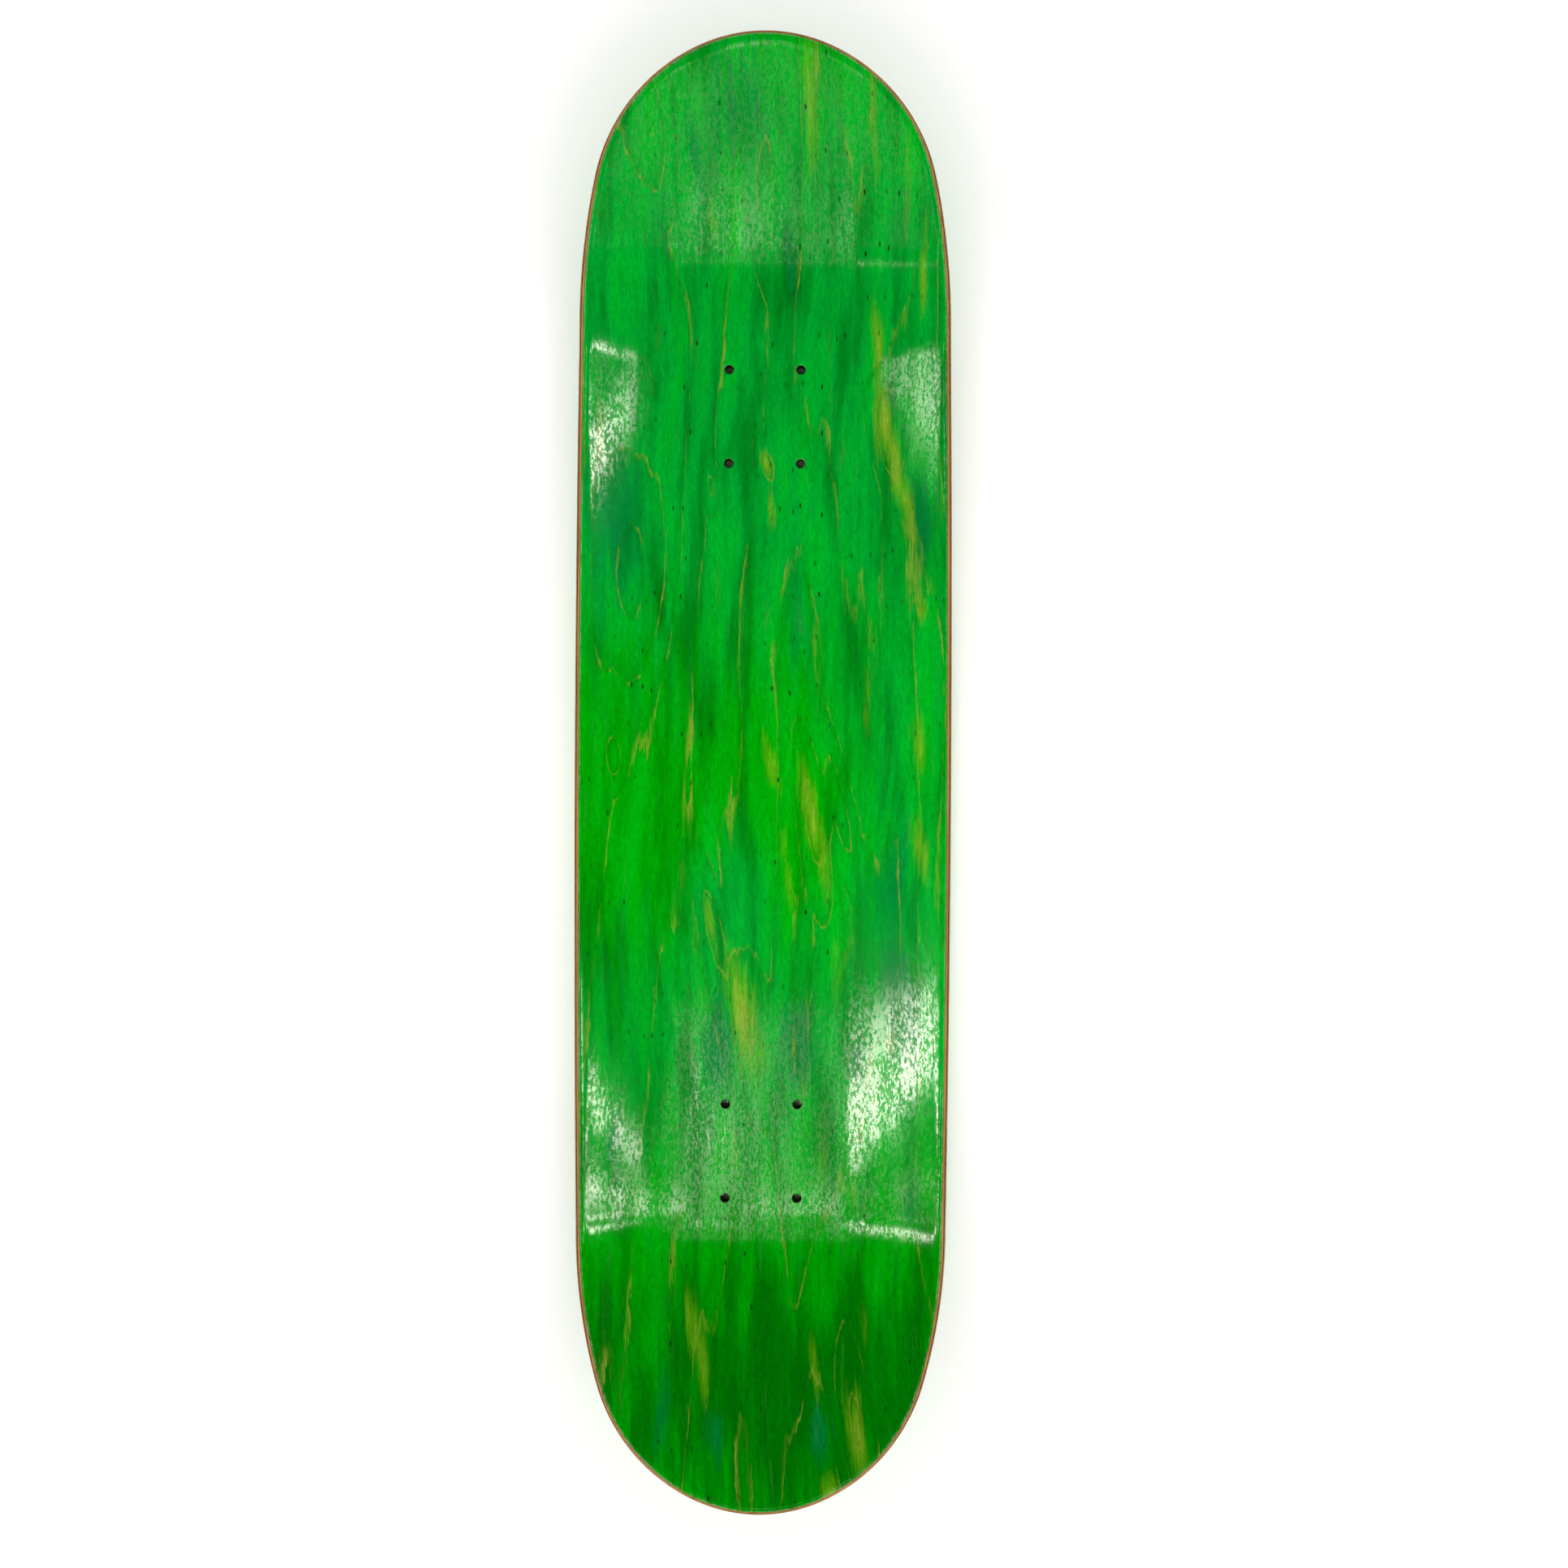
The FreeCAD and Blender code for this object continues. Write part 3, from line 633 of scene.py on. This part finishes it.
def dyed_colour(tree, place, shift):
    """The colour of the dyed face, and the fibre noise that the lacquer follows."""
    cloud = stretched_noise(tree, place, (0.26, 0.055, 0.26), 2.0, 0.5, shift)
    band = stretched_noise(tree, place, (0.110, 0.0160, 0.110), 3.0, 0.6, shift + 5)
    streak = stretched_noise(tree, place, (0.034, 0.0034, 0.034), 3.0, 0.65, shift + 9)
    fibre = stretched_noise(tree, place, (0.0045, 0.0010, 0.0045), 2.0, 0.75, shift + 14)
    flame = stretched_noise(tree, place, (0.055, 0.0055, 0.055), 3.0, 0.6, shift + 19)
    ragged = calculate(tree, "MULTIPLY_ADD", flame, 1.5,
                       calculate(tree, "MULTIPLY_ADD", streak, 0.7, -1.10))

    tint = calculate(tree, "ADD", painted(tree, "cool"), calculate(tree, "MULTIPLY", ragged, 0.5))
    dye = blend(tree, fade(tree, tint, 0.05, 0.75), GREEN, BLUE_GREEN)

    lighter = fade(tree, band, 0.42, 0.72)
    dye = blend(tree, calculate(tree, "MULTIPLY", lighter, 0.50), dye, colour(0, 176, 16))
    darker = fade(tree, band, 0.52, 0.30)
    dye = blend(tree, calculate(tree, "MULTIPLY", darker, 0.60), dye, DEEP)

    # The deep field is partly dye and partly painted shade over the tail and the nose bend.
    deep = calculate(tree, "ADD", painted(tree, "deep"), ragged)
    dye = blend(tree, calculate(tree, "MULTIPLY", fade(tree, deep, 0.10, 0.90), 0.8), dye, DEEP)
    teal = calculate(tree, "ADD", painted(tree, "teal"), ragged)
    dye = blend(tree, calculate(tree, "MULTIPLY", fade(tree, teal, 0.15, 0.90), 0.85), dye, TEAL)

    line, slope = ring_lines(tree, place, streak)
    pale = calculate(tree, "ADD", painted(tree, "pale"), ragged)
    body = fade(tree, pale, 0.20, 0.80)
    dye = blend(tree, calculate(tree, "MULTIPLY", body, 0.60), dye, LIME)
    heart = fade(tree, pale, 0.60, 1.20)
    dye = blend(tree, calculate(tree, "MULTIPLY", heart, 0.60), dye, STRAW)
    shown = calculate(tree, "MULTIPLY_ADD", fade(tree, flame, 0.50, 0.62), 0.22,
                      calculate(tree, "MULTIPLY", fade(tree, pale, -0.15, 0.35), 0.40))
    dye = blend(tree, calculate(tree, "MULTIPLY", line, shown), dye, STRAW)
    after_line = calculate(tree, "MULTIPLY", fade(tree, slope, 0.05, 0.5, 1.0, 0.0), 0.22)
    dye = blend(tree, after_line, dye, DEEP)

    fine = calculate(tree, "MULTIPLY_ADD", fibre, 0.9, 0.57)
    grain = add(tree, "ShaderNodeCombineColor", {0: fine, 1: fine, 2: fine}).outputs[0]
    dye = blend(tree, 1.0, dye, grain, "MULTIPLY")
    wide = calculate(tree, "MULTIPLY_ADD", streak, 0.40, 0.82)
    streaks = add(tree, "ShaderNodeCombineColor", {0: wide, 1: wide, 2: wide}).outputs[0]
    dye = blend(tree, 1.0, dye, streaks, "MULTIPLY")

    specks = flecks(tree, place, 2.8 * MM, 1.0 * MM, 0.38, shift)
    clustered = calculate(tree, "MULTIPLY", specks, fade(tree, cloud, 0.40, 0.60, 0.35, 1.0))
    dye = blend(tree, clustered, dye, FLECK)
    return dye, fibre


# %% [markdown]
# Clear lacquer lies over the dye. It swells a little with the wood, and it sinks into the pores,
# so it glitters in small dashes wherever it mirrors a lamp. In Blender that is a coat on the
# shader. A slow bump bends its reflections, and a fine noise on the coat's weight dulls it in the
# pores. A strong fine bump would only smear the reflection out.

# %% Lacquer
LACQUER_ROUGHNESS = 0.07
LACQUER_IOR = 1.6
PORE_COVER = 0.10                   # what is left of the coat in a pore


def lacquer_normal(tree, place, depth):
    """The coat's own slow swell, of about this depth in metres."""
    swell = stretched_noise(tree, place, (0.030, 0.0060, 0.030), 2.0, 0.5, 25)
    return add(tree, "ShaderNodeBump", {"Strength": 1.0, "Distance": depth, "Height": swell})


def lacquer_cover(tree, place):
    """How well the lacquer fills the grain: full on the ridges, dull in the pores."""
    pores = stretched_noise(tree, place, (0.0034, 0.0015, 0.0034), 2.0, 0.9, 21)
    patches = stretched_noise(tree, place, (0.05, 0.012, 0.05), 2.0, 0.5, 31)
    filled = calculate(tree, "MULTIPLY_ADD", patches, 0.35, calculate(tree, "ADD", pores, -0.175))
    return fade(tree, filled, 0.42, 0.60, PORE_COVER, 1.0)


def lacquered(base, place, roughness, depth, thickness=1.0):
    """Finish a material: its colour under a clear coat that follows the grain."""
    tree = base.id_data
    cover = calculate(tree, "MULTIPLY", lacquer_cover(tree, place), thickness)
    shader = add(tree, "ShaderNodeBsdfPrincipled",
                 {"Base Color": base, "Roughness": roughness, "Specular IOR Level": 0.0,
                  "Coat Weight": cover, "Coat Roughness": LACQUER_ROUGHNESS,
                  "Coat IOR": LACQUER_IOR})
    bump = lacquer_normal(tree, place, depth)
    tree.links.new(bump.outputs[0], shader.inputs["Coat Normal"])
    add(tree, "ShaderNodeOutputMaterial", {0: shader.outputs[0]})


def new_finish(name):
    material = bpy.data.materials.new(name)
    material.use_nodes = True
    material.node_tree.nodes.clear()
    return material, material.node_tree


FACE_SWELL = 0.06 * MM


def dyed_maple(name, shift):
    material, tree = new_finish(name)
    place = wandering_place(tree, shift=shift)
    dye, fibre = dyed_colour(tree, place, shift)
    lacquered(dye, place, fade(tree, fibre, 0.2, 0.8, 0.42, 0.6), FACE_SWELL)
    return material


top_finish = dyed_maple("green_dyed_maple_top", 0.0)
print(len(top_finish.node_tree.nodes), "nodes in the dyed finish")

# %% [markdown]
# The five veneers between the faces show only at the routed edge. Long veneers lie with the
# grain along the deck, so they show pale side grain at the rails and darker end grain at the
# tips, and cross veneers the other way round. One material does both: it reads the surface's
# own direction, and mixes the two cuts by how far that points along the grain.

# %% Natural maple at the edge
SIDE_GRAIN = colour(176, 128, 70)
SIDE_GRAIN_DARK = colour(134, 92, 46)
END_GRAIN = colour(48, 35, 18)
END_GRAIN_DARK = colour(30, 22, 11)
GLUE = colour(62, 40, 20)
EDGE_SWELL = 0.02 * MM
EDGE_COAT = 0.25                    # a cut edge soaks up most of its lacquer


def glue_share(tree, low, high):
    """How much of a point is glue: only a hair at both faces of the veneer."""
    depth = add(tree, "ShaderNodeAttribute", attribute_name="stack_height").outputs["Fac"]
    above = calculate(tree, "SUBTRACT", depth, low)
    below = calculate(tree, "SUBTRACT", high, depth)
    nearest = calculate(tree, "MINIMUM", above, below)
    return fade(tree, nearest, 0.16 * MM, 0.02 * MM)


def natural_maple(name, low, high, grain_axis, shift):
    """Bare veneer between two heights in the stack, its grain along X (0) or Y (1)."""
    material, tree = new_finish(name)
    place = wandering_place(tree, 1.0 * MM, 0.3 * MM, shift)
    along = {0: (0.02, 0.0006, 0.0005), 1: (0.0006, 0.02, 0.0005)}[grain_axis]
    wide = {0: (0.09, 0.004, 0.002), 1: (0.004, 0.09, 0.002)}[grain_axis]
    fibre = stretched_noise(tree, place, along, 2.0, 0.6, shift)
    band = stretched_noise(tree, place, wide, 2.0, 0.5, shift + 4)
    facing = add(tree, "ShaderNodeTexCoord").outputs["Normal"]
    towards = add(tree, "ShaderNodeSeparateXYZ", {0: facing}).outputs[grain_axis]
    end_share = fade(tree, calculate(tree, "ABSOLUTE", towards), 0.45, 0.95)
    mix = calculate(tree, "MULTIPLY_ADD", band, 0.6, calculate(tree, "MULTIPLY", fibre, 0.5))
    side = blend(tree, fade(tree, mix, 0.35, 0.75), SIDE_GRAIN, SIDE_GRAIN_DARK)
    end = blend(tree, fade(tree, mix, 0.35, 0.75), END_GRAIN, END_GRAIN_DARK)
    wood = blend(tree, end_share, side, end)
    wood = blend(tree, glue_share(tree, low, high), wood, GLUE)
    lacquered(wood, place, fade(tree, fibre, 0.2, 0.8, 0.4, 0.55), EDGE_SWELL, EDGE_COAT)
    return material


# %% Dress every veneer
low = 0.0
for number, (ply, thickness, slot) in enumerate(PLIES):
    veneer = veneers[ply]
    if slot == "stained_maple":
        top = ply == "top_face_ply"
        finish = top_finish if top else dyed_maple("green_dyed_maple_bottom", 40.0)
    else:
        finish = natural_maple(f"{slot}_{number}", low, low + thickness,
                               1 if slot == "cross_maple" else 0, 7.0 * number)
    veneer.data.materials.clear()
    veneer.data.materials.append(finish)
    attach(veneer, "root")
    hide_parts(ply)
    low += thickness
    print(veneer.name, "wears", finish.name)

# %% [markdown]
# ## Floor, light and camera
#
# The floor is a plain pale sheet, a hair below the deck so that the two never share a plane. It
# gives off a little light of its own, which keeps it white beside the deck, but not under it, so
# that the truck holes stay dark. The sky of the studio is bright only low down, all the way
# round: that lights the dye softly, but the deck's flat middle, which mirrors what is straight
# above it, still looks deep and saturated.

# %% Floor and studio
FLOOR_SIZE = 12.0
FLOOR_GAP = 0.2 * MM
FLOOR_GLOW = 0.18
floor_shape = bmesh.new()
bmesh.ops.create_grid(floor_shape, x_segments=1, y_segments=1, size=FLOOR_SIZE / 2)
bmesh.ops.translate(floor_shape, verts=floor_shape.verts, vec=(0, 0, cad_low.z - FLOOR_GAP))
floor_mesh = bpy.data.meshes.new("floor")
floor_shape.to_mesh(floor_mesh)
floor_shape.free()
floor = bpy.data.objects.new("floor", floor_mesh)
bpy.context.scene.collection.objects.link(floor)
floor_paint, tree = new_finish("pale_floor")
place = add(tree, "ShaderNodeTexCoord").outputs["Object"]
mottle = stretched_noise(tree, place, (0.3, 0.3, 0.3), 2.0)
paper = blend(tree, mottle, colour(251, 251, 251), colour(254, 254, 254))
spot = add(tree, "ShaderNodeSeparateXYZ", {0: place})
beside = fade(tree, calculate(tree, "ABSOLUTE", spot.outputs[1]), 0.05, 0.09)
beyond = fade(tree, calculate(tree, "ABSOLUTE", spot.outputs[0]), 0.28, 0.34)
own_light = calculate(tree, "MULTIPLY", calculate(tree, "MAXIMUM", beside, beyond), FLOOR_GLOW)
paper_shader = add(tree, "ShaderNodeBsdfPrincipled",
                   {"Base Color": paper, "Roughness": 0.9, "Specular IOR Level": 0.1,
                    "Emission Color": (1.0, 1.0, 1.0, 1.0), "Emission Strength": own_light})
add(tree, "ShaderNodeOutputMaterial", {0: paper_shader.outputs[0]})
floor.data.materials.append(floor_paint)

world = bpy.data.worlds.new("studio")
bpy.context.scene.world = world
world.use_nodes = True
sky = world.node_tree
sky.nodes.clear()
direction = add(sky, "ShaderNodeTexCoord").outputs["Generated"]
up = add(sky, "ShaderNodeSeparateXYZ", {0: direction}).outputs[2]
LOW_SKY, HIGH_SKY = 2.1, 0.012      # how bright the sky is at the horizon and overhead
LOW_SKY_TOP, HIGH_SKY_FOOT = math.radians(36), math.radians(52)
ring = fade(sky, up, math.sin(HIGH_SKY_FOOT), math.sin(LOW_SKY_TOP), HIGH_SKY, LOW_SKY)
ahead = add(sky, "ShaderNodeSeparateXYZ", {0: direction}).outputs[0]
TAIL_SHARE = 0.35                   # how much brighter the sky is beyond the tail
glow = calculate(sky, "MULTIPLY", ring, calculate(sky, "MULTIPLY_ADD", ahead, -TAIL_SHARE, 1.0))
backdrop = add(sky, "ShaderNodeBackground", {0: (1.0, 0.99, 0.97, 1.0), 1: glow})
add(sky, "ShaderNodeOutputWorld", {0: backdrop.outputs[0]})
print("floor at", round(cad_low.z / MM, 2), "mm")

# %% [markdown]
# Lacquer looks like lacquer only if it mirrors something. Rows of soft lamps hang in a ring
# round the camera, some towards the nose and the rest towards the tail. Each row is seen only
# where the deck is tilted to mirror it: on the raised rails, along the start of a bend, and
# across the foot of the nose kick. Most wear a grid, as a studio lamp does, so that they light
# the part of the deck they are aimed at and miss the other end.

# %% Soft lamps
LAMP_HEIGHT = 3.0
LAMP_COLOUR = (1.0, 0.955, 0.85)
BARE = 180                          # the spread in degrees of a lamp that wears no grid


def soft_lamp(name, centre, size, radiance, grid, aim):
    """A soft box overhead: its centre, sides and aim in metres, its brightness seen head on."""
    lamp = bpy.data.lights.new(name, "AREA")
    lamp.shape = "RECTANGLE"
    lamp.size, lamp.size_y = size
    lamp.energy = radiance * size[0] * size[1] * math.pi
    lamp.color = LAMP_COLOUR
    if grid < BARE:     # Blender squeezes all the power into the spread, a real grid stops it
        half = math.radians(grid / 2)
        lamp.spread = 2 * half
        lamp.energy *= (math.tan(half) - half) / math.tan(half)
    holder = bpy.data.objects.new(name, lamp)
    holder.location = (*centre, LAMP_HEIGHT)
    back = (holder.location - Vector((*aim, 0))).normalized()
    side = Vector((0, 1, 0)).cross(back).normalized()
    holder.rotation_euler = Matrix((side, back.cross(side), back)).transposed().to_euler()
    holder.visible_camera = False
    bpy.context.scene.collection.objects.link(holder)


def lamp_row(name, start, end, widths, radiance, count=1, grid=BARE, aims=None, taper=1.0):
    """Lamps side by side from start to end, each aimed at its own share of the line of aims.

    The width runs from the first to the second of widths, and the brightness falls to the
    share taper towards the end. Without aims, a row points straight down.
    """
    length = math.dist(start, end) / count
    for number in range(count):
        share = (number + 0.5) / count
        centre = Vector(start).lerp(Vector(end), share)
        aim = Vector(aims[0]).lerp(Vector(aims[1]), share) if aims else centre
        width = widths[0] + (widths[1] - widths[0]) * share
        brightness = radiance * (1 + (taper - 1) * share)
        soft_lamp(f"{name}_{number}", centre, (width, length), brightness, grid, aim)


lamp_row("nose_left", (0.62, -1.38), (0.76, -0.62), (0.09, 0.11), 46, 5, 10,
         ((0.09, 0.105), (0.11, 0.075)), 0.12)
lamp_row("nose_left_spill", (0.77, -1.38), (0.79, -0.50), (0.20, 0.16), 1.4, 3, 16,
         ((0.20, 0.105), (0.20, 0.07)), 0.3)
lamp_row("nose_right", (0.78, 1.50), (0.82, 0.55), (0.18, 0.10), 11, 4, 12,
         ((0.18, -0.105), (0.18, -0.07)), 0.35)
lamp_row("nose_right_spill", (0.66, 1.50), (0.74, 0.90), (0.16, 0.10), 3, 2, 16,
         ((0.20, -0.105), (0.22, -0.085)), 0.5)
lamp_row("tail_right", (-0.485, 1.50), (-0.575, 0.16), (0.14, 0.30), 36, 6, 10,
         ((-0.04, -0.105), (-0.05, -0.045)), 0.75)
lamp_row("tail_left", (-0.61, -1.38), (-0.72, -0.52), (0.07, 0.05), 26, 4, 14,
         ((-0.18, 0.105), (-0.21, 0.07)), 0.45)
lamp_row("tail_edge_left", (-0.813, -1.38), (-0.813, 0.05), (0.03, 0.03), 34, 4, 14,
         ((-0.25, 0.105), (-0.25, 0.04)), 0.35)
lamp_row("tail_edge_right", (-0.80, 1.50), (-0.80, 0.25), (0.03, 0.03), 5, 3, 14,
         ((-0.25, -0.105), (-0.25, -0.05)), 0.5)
lamp_row("tail_middle", (-0.72, 0.02), (-0.72, 0.17), (0.24, 0.24), 2.4)
lamp_row("tail_middle_spill", (-0.70, -0.26), (-0.70, 0.02), (0.26, 0.26), 1.0)
lamp_row("tail_columns", (-0.53, -0.10), (-0.53, 0.19), (0.20, 0.20), 1.0)
lamp_row("tail_band", (-0.76, -1.30), (-0.76, 1.30), (0.22, 0.22), 0.3)
lamp_row("tail_haze", (-0.95, -1.30), (-0.95, 1.30), (0.16, 0.16), 0.6)

# %% [markdown]
# The camera looks straight down from a little over a metre, with the nose up in the frame. It
# stands a little to one side and is turned by a fraction of a degree, as a real one would be.

# %% Camera
LENS = 51.54
SENSOR = 36.0
CAMERA_DISTANCE = 1.29              # from the flat top of the deck
CAMERA_ASIDE = -12.1 * MM
CAMERA_TURN = math.radians(0.30 - 90)
camera_data = bpy.data.cameras.new("camera")
camera_data.sensor_width = SENSOR
camera_data.lens = LENS
camera = bpy.data.objects.new("camera", camera_data)
camera.location = (0, CAMERA_ASIDE, THICKNESS + CAMERA_DISTANCE)
camera.rotation_euler = (0, 0, CAMERA_TURN)
bpy.context.scene.collection.objects.link(camera)
bpy.context.scene.camera = camera
bpy.context.scene.view_settings.view_transform = "Standard"
print("lens", round(camera_data.lens, 1), "mm")
